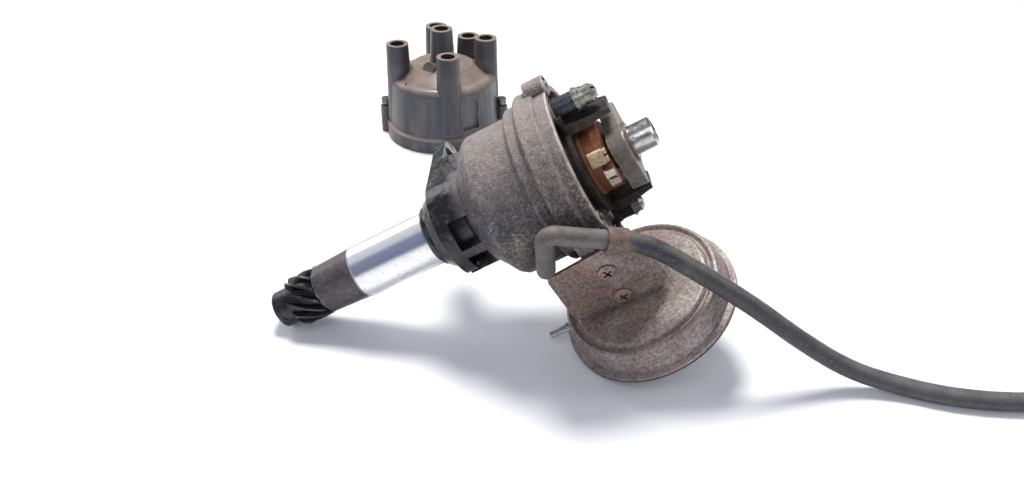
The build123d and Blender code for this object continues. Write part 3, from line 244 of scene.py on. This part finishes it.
# ---------------------------------------------------------------- cast housing
def housing_material():
    """Cast bowl, oily neck, ground shank and dark tail, told apart by the place on the shaft;
    painted shade in the neck and the hollows, a painted highlight on the rim's top edge, a painted
    reflection on the shank.
    """
    t = Tree("cast_housing")
    exact = t.along(SHAFT, GEAR_END, 0, 0.2)
    wobble = t.times(t.math("SUBTRACT", t.noise(90, 4), 0.5), 0.03)
    where = t.math("ADD", exact, wobble)

    # Cast bowl: blue grey and brown patches under a coarse grain of light and dark
    blue_grey, brown_grey = (0.062, 0.060, 0.078), (0.112, 0.090, 0.082)
    cast = t.mix(t.spots([(0.42, 0), (0.60, 1)], 34, 5, 0.6, 0.7), blue_grey, brown_grey)
    cast = t.mix(t.ramp(where, [(0.70, 0), (0.80, 0.75)]), cast, (0.150, 0.118, 0.110))
    crust = t.spots([(0.56, 0), (0.66, 0.7)], 48, 6, 0.7, 0.5)
    cast = t.mix(crust, cast, (0.190, 0.160, 0.110))
    clouds = t.spots([(0.34, 0.36), (0.64, 1.45)], 120, 6, 0.7, 0.5)
    cast = t.mix(0.85, cast, clouds, "MULTIPLY")
    sand = t.spots([(0.36, 0.08), (0.50, 0.78), (0.66, 2.7)], 820, 3, 0.85)
    cast = t.mix(0.9, cast, sand, "MULTIPLY")
    cast = t.mix(t.spots([(0.60, 0), (0.70, 0.85)], 1300, 3), cast, (0.42, 0.36, 0.33))
    dust = t.spots([(0.3, 0.35), (0.66, 1.0)], 190, 6, 0.7)
    dust = t.times(t.times(t.facing(UP, 0.1, 0.9), dust), 0.85)
    cast = t.mix(dust, cast, (0.34, 0.285, 0.26))

    # Neck under the bowl: oily black with brown smearing; the near-black is also painted shade over
    # the neck and its pockets, and the brown smearing also a painted sheen
    smears_and_sheen = t.spots([(0.54, 0), (0.70, 1)], 150, 5, 0.65, 0.9)
    oil_and_shade = t.mix(smears_and_sheen, (0.011, 0.010, 0.013), (0.085, 0.070, 0.062))
    cast = t.mix(t.ramp(where, [(0.535, 0), (0.585, 1)]), oil_and_shade, cast)

    # Rubbed edges; the rim's top edge bright from wear and a painted highlight; painted shade, near
    # black, in the hollows
    rub = t.times(t.edges(0.80, 0.985, 0.0016), t.spots([(0.38, 0.15), (0.6, 0.95)], 300))
    rub = t.times(rub, t.ramp(where, [(0.55, 0.0), (0.6, 0.9)]))
    cast = t.mix(rub, cast, (0.50, 0.43, 0.385))
    lip_wear_and_highlight = t.times(t.edges(0.86, 0.99, 0.0022), t.ramp(exact, [(0.822, 0), (0.828, 1)]))
    lip_wear_and_highlight = t.times(lip_wear_and_highlight, t.spots([(0.36, 0.2), (0.5, 1.0)], 170))
    cast = t.mix(lip_wear_and_highlight, cast, (0.86, 0.75, 0.67))
    cast = t.mix(t.times(t.crevice_shade(0.008, 0.2, 0.9), 0.88), cast, (0.009, 0.008, 0.010))

    # Ground shank: a clean bright stretch between the dark tail and the O-ring, its near-white
    # partly a painted reflection of the white surroundings, with a lavender stripe of painted
    # reflection along it
    reflection_stripe = t.ramp(t.facing(spoke(radians(146)), 0.955, 1.0), [(0.10, 0), (0.75, 1)])
    shank = t.mix(t.times(reflection_stripe, 0.95), (0.93, 0.93, 0.925), (0.36, 0.385, 0.56))
    scuffs = t.spots([(0.585, 0), (0.64, 1)], 330, 6, 0.75, 0.8)
    scuffs = t.times(scuffs, t.facing(TO_CAMERA_LOW, 0.45, 0.9))
    shank = t.mix(scuffs, shank, (0.30, 0.26, 0.19))
    grinding = t.streaks([(0.5, 0.0), (0.7, 0.3)], 4, 0.6, (60, 900, 900), (0, TILT, 0))
    shank = t.mix(grinding, shank, (0.55, 0.55, 0.58))

    # Tail below it
    stains = t.spots([(0.4, 0), (0.62, 1)], 170, 6, 0.65, 0.5)
    tail = t.mix(stains, (0.050, 0.041, 0.049), (0.085, 0.070, 0.074))
    tail = t.mix(t.spots([(0.54, 0), (0.70, 0.7)], 700, 4, 0.7), tail, (0.22, 0.18, 0.165))

    on_shank = t.ramp(exact, [(0.2340, 0), (0.2350, 1)])
    below_ring = t.ramp(exact, [(0.4385, 1), (0.4395, 0)])
    polished = t.times(on_shank, below_ring)
    colour = t.mix(below_ring, cast, t.mix(on_shank, tail, shank))
    cast_rough = t.ramp(where, [(0.45, 0.24), (0.545, 0.24), (0.60, 0.48), (0.9, 0.58)])
    lower_rough = t.ramp(exact, [(0.2340, 0.42), (0.2350, 0.20)])
    rough = t.mix(below_ring, cast_rough, lower_rough)
    grain = t.math("ADD", t.noise(1300, 5), t.times(t.noise(420, 4), 1.6))
    grain = t.times(grain, t.ramp(where, [(0.54, 0.15), (0.60, 1.0)]))
    lump_size = t.ramp(where, [(0.43, 0), (0.45, 2.6), (0.55, 2.6), (0.60, 2.2)])
    height = t.math("ADD", grain, t.times(t.noise(85, 2), lump_size))
    t.bump(t.times(height, t.ramp(polished, [(0, 1), (1, 0.02)])), 0.8, 0.0006)
    return t.surface(colour, rough, t.times(polished, 0.55))


# ---------------------------------------------------------------- worn small parts
def aged(name, base, patch, speck, rough, metallic=0.0, patch_scale=70, speck_scale=900,
         speck_at=0.6, wear=None, bump=0.25):
    """Worn surface: patches, fine specks, bright worn edges and painted shade in the hollows."""
    t = Tree(name)
    colour = t.mix(t.spots([(0.38, 0), (0.66, 1)], patch_scale, 6, 0.62, 0.4), base, patch)
    grain = t.spots([(0.3, 0.62), (0.7, 1.3)], speck_scale * 0.9, 4, 0.7)
    colour = t.mix(0.6, colour, grain, "MULTIPLY")
    colour = t.mix(t.spots([(speck_at, 0), (speck_at + 0.12, 1)], speck_scale, 3, 0.6),
                   colour, speck)
    if wear:
        rub = t.times(t.edges(0.80, 0.985), t.spots([(0.4, 0.1), (0.62, 0.9)], 260))
        colour = t.mix(rub, colour, wear)
    # Painted shade, near black, in the hollows
    colour = t.mix(t.times(t.crevice_shade(), 0.6), colour, (0.012, 0.010, 0.010))
    coarse = t.times(t.noise(speck_scale * 0.35, 4), 1.2)
    t.bump(t.math("ADD", t.noise(speck_scale * 1.6, 5), coarse), bump, 0.00025)
    return t.surface(colour, t.spots([(0.3, rough[0]), (0.7, rough[1])], patch_scale * 2.2, 5),
                     metallic)


materials = {"housing": housing_material()}

# Name; colours of base, patches and specks; roughness from and to; metallic; more; nodes
for name, base, patch, speck, rough, metallic, more, used_on in (
    ("oily_rubber", (0.012, 0.012, 0.014), (0.03, 0.028, 0.03), (0.08, 0.07, 0.06),
     (0.16, 0.35), 0.0, {"bump": 0.1}, ("o_ring", "diaphragm")),
    ("gear_steel", (0.040, 0.038, 0.044), (0.022, 0.021, 0.024), (0.11, 0.10, 0.10),
     (0.24, 0.45), 0.5, {"patch_scale": 160, "wear": (0.20, 0.19, 0.195), "bump": 0.1},
     ("drive_gear", "gear_pin")),
    ("bright_steel", (0.62, 0.61, 0.59), (0.50, 0.46, 0.42), (0.16, 0.12, 0.10),
     (0.16, 0.34), 1.0, {"patch_scale": 120, "speck_scale": 1500, "speck_at": 0.64, "bump": 0.08},
     ("drive_shaft", "rotor_shaft", "rotor_key_pin", "vacuum_nipple",
      "governor_springs", "diaphragm_spring", "brush_spring")),
    ("dull_plating", (0.36, 0.33, 0.29), (0.24, 0.20, 0.165), (0.12, 0.09, 0.07),
     (0.34, 0.55), 0.75,
     {"patch_scale": 220, "speck_scale": 1400, "wear": (0.62, 0.60, 0.56), "bump": 0.15},
     ("plate_screws", "lower_thrust_washer", "upper_thrust_washer", "governor_plate",
      "vacuum_rod", "diaphragm_cup")),
    ("navy_spacer", (0.055, 0.052, 0.085), (0.085, 0.08, 0.10), (0.3, 0.29, 0.3),
     (0.25, 0.4), 0.5, {"patch_scale": 200, "bump": 0.12}, ("screw_spacers",)),
    ("zinc_plating", (0.42, 0.43, 0.36), (0.20, 0.20, 0.165), (0.10, 0.09, 0.075),
     (0.22, 0.42), 0.8,
     {"patch_scale": 240, "speck_scale": 1400, "wear": (0.75, 0.76, 0.68), "bump": 0.15},
     ("screw_washers", "stator_screws")),
    ("seat_plate", (0.16, 0.125, 0.11), (0.09, 0.07, 0.062), (0.32, 0.26, 0.21),
     (0.4, 0.6), 0.4, {"patch_scale": 180, "bump": 0.2}, ("base_plate", "advance_plate")),
    ("rusty_strap", (0.225, 0.150, 0.125), (0.13, 0.085, 0.07), (0.34, 0.26, 0.21),
     (0.45, 0.7), 0.2, {"patch_scale": 260, "bump": 0.3}, ("lead_clip",)),
    ("black_iron", (0.022, 0.019, 0.018), (0.05, 0.038, 0.03), (0.13, 0.10, 0.08),
     (0.35, 0.6), 0.4, {"patch_scale": 200, "wear": (0.16, 0.13, 0.11)},
     ("stator_plate", "upper_pole", "lower_pole", "magnet",
      "governor_weight_a", "governor_weight_b")),
    ("reluctor_iron", (0.25, 0.215, 0.19), (0.155, 0.128, 0.112), (0.35, 0.30, 0.26),
     (0.36, 0.55), 0.6,
     {"patch_scale": 200, "speck_scale": 1500, "wear": (0.42, 0.38, 0.33), "bump": 0.22},
     ("reluctor",)),
    ("orange_moulding", (0.60, 0.205, 0.09), (0.36, 0.125, 0.065), (0.12, 0.05, 0.035),
     (0.4, 0.6), 0.0, {"patch_scale": 190, "bump": 0.15}, ("pickup_bobbin",)),
    ("winding", (0.42, 0.17, 0.075), (0.25, 0.085, 0.04), (0.08, 0.03, 0.02),
     (0.3, 0.5), 0.5, {"bump": 0.2}, ("copper_winding",)),
    ("beige_nylon", (0.74, 0.56, 0.34), (0.50, 0.34, 0.19), (0.16, 0.10, 0.06),
     (0.35, 0.55), 0.0, {"patch_scale": 260, "bump": 0.12}, ("terminal_block",)),
    ("tab_metal", (0.60, 0.56, 0.48), (0.42, 0.35, 0.25), (0.2, 0.15, 0.1),
     (0.25, 0.4), 0.9, {"bump": 0.1}, ("terminal_tabs",)),
    ("bronze", (0.36, 0.21, 0.09), (0.22, 0.12, 0.05), (0.1, 0.06, 0.03),
     (0.3, 0.5), 0.9, {"bump": 0.12}, ("lower_bush", "upper_bush")),
    ("old_brass", (0.46, 0.33, 0.14), (0.28, 0.19, 0.09), (0.12, 0.08, 0.05),
     (0.28, 0.5), 0.9, {"bump": 0.12}, ("cap_terminals", "plug_pins")),
    ("screw_metal", (0.20, 0.185, 0.165), (0.12, 0.10, 0.085), (0.07, 0.055, 0.045),
     (0.34, 0.55), 0.8, {"patch_scale": 300, "wear": (0.38, 0.36, 0.32), "bump": 0.15},
     ("cap_screws",)),
    ("felt", (0.12, 0.095, 0.07), (0.07, 0.055, 0.04), (0.2, 0.17, 0.13),
     (0.9, 1.0), 0.0, {"bump": 0.6}, ("felt_wick",)),
    ("carbon", (0.02, 0.02, 0.021), (0.035, 0.034, 0.035), (0.06, 0.06, 0.06),
     (0.4, 0.55), 0.0, {"bump": 0.1}, ("carbon_brush",)),
    ("elbow_rubber", (0.105, 0.092, 0.088), (0.17, 0.145, 0.13), (0.28, 0.24, 0.21),
     (0.45, 0.65), 0.0, {"bump": 0.2}, ("lead_boot", "pickup_lead")),
    ("plug_moulding", (0.02, 0.02, 0.022), (0.035, 0.034, 0.035), (0.1, 0.1, 0.1),
     (0.35, 0.5), 0.0, {"bump": 0.12}, ("lead_plug",)),
):
    material = aged(name, base, patch, speck, rough, metallic, **more)
    for node in used_on:
        materials[node] = material


# ---------------------------------------------------------------- vacuum can and bracket
def rusted(name, metal, purple, rust, speck, amount):
    """Zinc gone dull: grey metal, purplish stains, rust blooms and pale specks, with painted shade
    in the hollows.
    """
    t = Tree(name)
    colour = t.mix(t.spots([(0.40, 0), (0.58, 1)], 42, 5, 0.6, 0.8), metal, purple)
    blooms = t.times(t.spots([(0.48, 0), (0.62, 1)], 95, 6, 0.72, 0.6), amount)
    colour = t.mix(blooms, colour, rust)
    grain = t.spots([(0.36, 0.35), (0.64, 1.75)], 620, 4, 0.85)
    colour = t.mix(0.85, colour, grain, "MULTIPLY")
    colour = t.mix(t.spots([(0.62, 0), (0.70, 0.9)], 1250, 3), colour, speck)
    rub = t.times(t.edges(0.84, 0.985), t.spots([(0.4, 0.05), (0.62, 0.8)], 260))
    colour = t.mix(rub, colour, (0.46, 0.40, 0.35))
    # Painted shade in the hollows
    colour = t.mix(t.times(t.crevice_shade(0.007), 0.7), colour, (0.028, 0.018, 0.020))
    t.bump(t.math("ADD", t.noise(1400, 5), t.times(t.noise(300, 4), 1.5)), 0.35, 0.0003)
    return t.surface(colour, t.spots([(0.3, 0.34), (0.7, 0.62)], 200, 5), 0.25)


materials["vacuum_front_shell"] = materials["vacuum_back_shell"] = rusted(
    "can_patina", (0.31, 0.275, 0.250), (0.225, 0.172, 0.175), (0.30, 0.19, 0.135),
    (0.48, 0.41, 0.35), 0.5)
materials["vacuum_bracket"] = materials["bracket_screws"] = rusted(
    "bracket_patina", (0.32, 0.28, 0.26), (0.200, 0.145, 0.135), (0.290, 0.155, 0.085),
    (0.50, 0.42, 0.35), 0.8)


# ---------------------------------------------------------------- cap
def cap_material():
    """Old moulding: olive and brown where dust settled, pale shoulder; painted shade makes the
    front, the side facing the camera, blue black, darkens each tower's side facing the camera and
    fills the hollows.
    """
    t = Tree("cap_moulding")
    soft = t.spots([(0.40, 0), (0.60, 1)], 30, 4, 0.55, 0.8)
    base = t.mix(soft, (0.078, 0.074, 0.076), (0.118, 0.106, 0.086))
    # Painted shade: faces turned towards the camera go blue black, broken by streaks
    front = t.times(t.facing((0.15, -1, 0), 0.25, 0.8),
                    t.streaks([(0.40, 0.25), (0.58, 1)], 4, 0.6, (42, 42, 9)))
    base = t.mix(front, base, (0.047, 0.047, 0.066))
    runs = t.streaks([(0.36, 0.42), (0.50, 0.92), (0.66, 1.55)], 5, 0.65, (60, 60, 8))
    upright = t.ramp(t.facing(UP, 0.1, 0.6), [(0, 0.85), (1, 0.0)])
    base = t.mix(upright, base, t.mix(1.0, base, runs, "MULTIPLY"))
    base = t.mix(t.spots([(0.60, 0), (0.74, 0.5)], 1100, 3), base, (0.17, 0.15, 0.135))
    dust = t.times(t.facing(UP, 0.15, 0.85), t.spots([(0.28, 0.3), (0.64, 0.95)], 85, 5, 0.6))
    base = t.mix(dust, base, (0.275, 0.205, 0.160))
    # Painted shade in the hollows
    base = t.mix(t.times(t.crevice_shade(0.006, 0.15, 0.8), 0.5), base, (0.03, 0.027, 0.025))
    # Painted shade: the upper part's faces towards the camera made darker
    tower_front_shade = t.ramp(t.along(UP, (0, 0, 0), 0, 0.1), [(0.49, 1.0), (0.53, 0.66)])
    base = t.mix(t.facing((0.2, -1, 0.1), 0.2, 0.7), base, t.mix(1.0, base, tower_front_shade, "MULTIPLY"))
    worn = t.times(t.edges(0.84, 0.985), t.spots([(0.35, 0.1), (0.6, 0.75)], 120))
    base = t.mix(worn, base, (0.235, 0.205, 0.175))
    t.bump(t.math("ADD", t.noise(900, 4), t.times(t.noise(120, 4), 2.0)), 0.16, 0.00022)
    return t.surface(base, t.spots([(0.3, 0.30), (0.7, 0.55)], 90, 5))


materials["cap_body"] = cap_material()

for name, obj in nodes.items():
    obj.data.materials.clear()
    obj.data.materials.append(materials[name])
    for poly in obj.data.polygons:
        poly.material_index = 0


# ---------------------------------------------------------------- free lead
LEAD_D = 0.0086
LEAD_REST = LEAD_D / 2 + 0.0001  # height of its centre where it lies on the bench
LEAD_ROUTE = [
    vac_point(9.0, 47.0, 152.0),  # in the elbow's mouth
    vac_point(0.5, 46.8, 161.5),
    vac_point(-16.0, 44.8, 179.5),
    Vector((0.086, -0.1455, 0.060)),
    Vector((0.112, -0.147, 0.043)),
    Vector((0.137, -0.149, 0.024)),
    Vector((0.160, -0.1505, 0.0095)),
    Vector((0.182, -0.155, LEAD_REST)),
    Vector((0.203, -0.163, LEAD_REST)),
    Vector((0.230, -0.1665, LEAD_REST)),
    Vector((0.256, -0.1655, LEAD_REST)),  # in the plug
]


def lead_material():
    """Grey rubber: dusty at the elbow, dark under the strap, paler where it lies, lighter on top
    from dust and a painted highlight.
    """
    t = Tree("lead_jacket")
    worn = t.ramp(t.along((1, 0, 0), (0, 0, 0), 0.02, 0.26), [
        (0.0, (0.150, 0.130, 0.122)), (0.10, (0.160, 0.142, 0.135)),
        (0.15, (0.120, 0.108, 0.104)), (0.17, (0.034, 0.033, 0.038)),
        (0.225, (0.036, 0.036, 0.044)), (0.26, (0.085, 0.084, 0.072)),
        (0.30, (0.060, 0.058, 0.060)), (0.45, (0.060, 0.058, 0.064)),
        (0.75, (0.080, 0.080, 0.088)), (1.0, (0.055, 0.055, 0.060)),
    ])
    dark = t.spots([(0.42, 0), (0.64, 0.5)], 150, 5, 0.6, 0.5)
    colour = t.mix(dark, worn, (0.036, 0.034, 0.038))
    # Dust on the upper side, also a painted highlight along the top
    dust = t.times(t.facing(UP, 0.35, 0.95), t.spots([(0.4, 0.1), (0.6, 0.55)], 90, 5, 0.6))
    colour = t.mix(dust, colour, (0.185, 0.175, 0.155))
    colour = t.mix(t.spots([(0.62, 0), (0.72, 0.7)], 900, 3), colour, (0.28, 0.26, 0.24))
    t.bump(t.math("ADD", t.noise(1300, 4), t.noise(200, 4)), 0.18, 0.0003)
    return t.surface(colour, t.spots([(0.3, 0.42), (0.7, 0.65)], 240))


curve = bpy.data.curves.new("pickup_lead_run", "CURVE")
curve.dimensions = "3D"
curve.bevel_depth = LEAD_D / 2
curve.bevel_resolution = 6
curve.resolution_u = 16
spline = curve.splines.new("NURBS")
spline.points.add(len(LEAD_ROUTE) - 1)
for point, place in zip(spline.points, LEAD_ROUTE):
    point.co = (*place, 1)
spline.order_u = 3
spline.use_endpoint_u = True
curve.materials.append(lead_material())
lead = show("pickup_lead_run", curve)
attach(lead, "housing")
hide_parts("pickup_lead")


# ---------------------------------------------------------------- springs as wound wire
STEPS_PER_TURN = 12
WIRE_CORNERS = 6


def coil_spring(name, start, end, radius, wire, turns):
    """Helix of round wire between two points, in metres; wire is the wire's radius."""
    along = (end - start).normalized()
    side = along.orthogonal().normalized()
    up = along.cross(side)
    steps = turns * STEPS_PER_TURN
    length = (end - start).length - 2 * wire
    points = []
    for i in range(steps + 1):
        turn = 2 * pi * i / STEPS_PER_TURN
        outward = side * cos(turn) + up * sin(turn)
        centre = start + along * (wire + length * i / steps) + outward * (radius - wire)
        for k in range(WIRE_CORNERS):
            a = 2 * pi * k / WIRE_CORNERS
            points.append(centre + (outward * cos(a) + along * sin(a)) * wire)
    first = range(WIRE_CORNERS)
    faces = [tuple(first), tuple(steps * WIRE_CORNERS + k for k in reversed(first))]
    for i in range(steps):
        low, high = i * WIRE_CORNERS, (i + 1) * WIRE_CORNERS
        for k in first:
            after = (k + 1) % WIRE_CORNERS
            faces.append((low + k, high + k, high + after, low + after))
    mesh = bpy.data.meshes.new(name)
    mesh.from_pydata(points, [], faces)
    mesh.polygons.foreach_set("use_smooth", [len(f) == 4 for f in faces])
    mesh.materials.append(materials["rotor_shaft"])
    spring = show(name, mesh)
    return spring


# Diaphragm spring: its far end stands still while the cup comes up the rod
CAN_CENTRE = vac_point(-67.1515, 33.0, 163.5)
CAN_SPRING_END = CAN_CENTRE + ROD * 0.0138
can_coil = coil_spring("diaphragm_coil", CAN_CENTRE + ROD * 0.0010, CAN_SPRING_END,
                       radius=0.01814, wire=0.0008, turns=4)
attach(can_coil, "housing")
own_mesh(can_coil)
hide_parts("diaphragm_spring")

# Brush spring: its upper end stands in the cap
BRUSH_TOP = Vector((-0.03909, 0.12172, 0.0488))
BRUSH_SPRING_END = BRUSH_TOP + Vector((0, 0, 0.0050))
brush_coil = coil_spring("brush_coil", BRUSH_TOP, BRUSH_SPRING_END,
                         radius=0.0022, wire=0.00025, turns=6)
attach(brush_coil, "cap")
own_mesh(brush_coil)
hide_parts("brush_spring")

# Governor springs: each from a post on the governor plate to one on the sleeve's yoke
POST_ROOM = 0.0013  # from a post's centre to the spring
for turned, label in ((0, "a"), (180, "b")):
    plate_post = shaft_point(138.4, 140 + turned, 20.0)
    yoke_post = shaft_point(138.4, 60 + turned, 11.5)
    room = (yoke_post - plate_post).normalized() * POST_ROOM
    weight_coil = coil_spring(f"governor_coil_{label}", plate_post + room, yoke_post - room,
                              radius=0.0015, wire=0.0003, turns=22)
    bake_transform(weight_coil)
    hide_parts("governor_springs")


# ---------------------------------------------------------------- floor
FLOOR_HALF = 6
FLOOR_Z = -0.0002
floor_mesh = bpy.data.meshes.new("floor")
corners = [(x * FLOOR_HALF, y * FLOOR_HALF, FLOOR_Z)
           for x, y in ((-1, -1), (1, -1), (1, 1), (-1, 1))]
floor_mesh.from_pydata(corners, [], [(0, 1, 2, 3)])
floor = show("floor", floor_mesh)

# Shown with a little bluish light of its own, and as plain white far from the object
t = Tree("pale_floor")
t.surface((0.93, 0.935, 0.95), 0.7)
far = t.off_axis(UP, 0.40, 0.90)
glow = t.add("Emission")
t.link(t.mix(far, (0.80, 0.86, 1.0), (1.0, 1.0, 1.0)), glow.inputs["Color"])
path = t.add("LightPath")
seen = t.math("MAXIMUM", path.outputs["Is Camera Ray"], path.outputs["Is Glossy Ray"])
blend = t.add("MixShader")
t.link(t.times(seen, t.math("ADD", t.times(far, 0.92), 0.08)), blend.inputs[0])
t.link(t.bsdf.outputs[0], blend.inputs[1])
t.link(glow.outputs[0], blend.inputs[2])
t.link(blend.outputs[0], t.out.inputs[0])
floor_mesh.materials.append(t.mat)


# ---------------------------------------------------------------- white backdrop, bluish sky
world = bpy.data.worlds.new("studio")
bpy.context.scene.world = world
world.use_nodes = True
tree = world.node_tree
tree.nodes.clear()
world_out = tree.nodes.new("ShaderNodeOutputWorld")
sky = tree.nodes.new("ShaderNodeBackground")
sky.inputs["Color"].default_value = (0.70, 0.79, 1.0, 1)
sky.inputs["Strength"].default_value = 0.27
white = tree.nodes.new("ShaderNodeBackground")
white.inputs["Color"].default_value = (1, 1, 1, 1)
world_path = tree.nodes.new("ShaderNodeLightPath")
world_mix = tree.nodes.new("ShaderNodeMixShader")
tree.links.new(world_path.outputs["Is Camera Ray"], world_mix.inputs[0])
tree.links.new(sky.outputs[0], world_mix.inputs[1])
tree.links.new(white.outputs[0], world_mix.inputs[2])
tree.links.new(world_mix.outputs[0], world_out.inputs[0])

# ---------------------------------------------------------------- lamps: place, target, size, watts
WARM, COOL = (1.0, 0.985, 0.965), (0.96, 0.98, 1.0)
for name, place, target, size, power, colour in (
    ("key", (-0.10, 0.34, 1.28), (0, -0.02, 0.03), 0.45, 21, WARM),
    ("back_left", (-1.05, 0.75, 0.72), (-0.02, -0.05, 0.05), 0.8, 5, COOL),
    ("front", (-0.25, -0.95, 1.05), (0.02, -0.05, 0.05), 0.8, 3.6, (1.0, 0.985, 0.97)),
    ("side", (0.95, -0.15, 0.75), (0, -0.05, 0.05), 0.6, 2, COOL),
):
    light = bpy.data.lights.new(name, "AREA")
    light.shape = "DISK"
    light.size = size
    light.energy = power
    light.color = colour
    lamp = show(name, light)
    lamp.location = place
    towards = Vector(target) - Vector(place)
    lamp.rotation_euler = towards.to_track_quat("-Z", "Y").to_euler()

# ---------------------------------------------------------------- camera at the photo's angle
LOOK_DOWN = 32.07  # degrees below level
ROLL = 0.18
camera_data = bpy.data.cameras.new("photo_camera")
camera_data.lens = 35.156
camera_data.sensor_width = 36
camera_data.clip_start = 0.01
camera = show("photo_camera", camera_data)
camera.location = (0.00722, -0.50410, 0.29516)
camera.rotation_euler = Euler((radians(90 - LOOK_DOWN), 0, 0))
camera.rotation_euler.rotate_axis("Z", radians(ROLL))
bpy.context.scene.camera = camera
bpy.context.scene.view_settings.view_transform = "Standard"
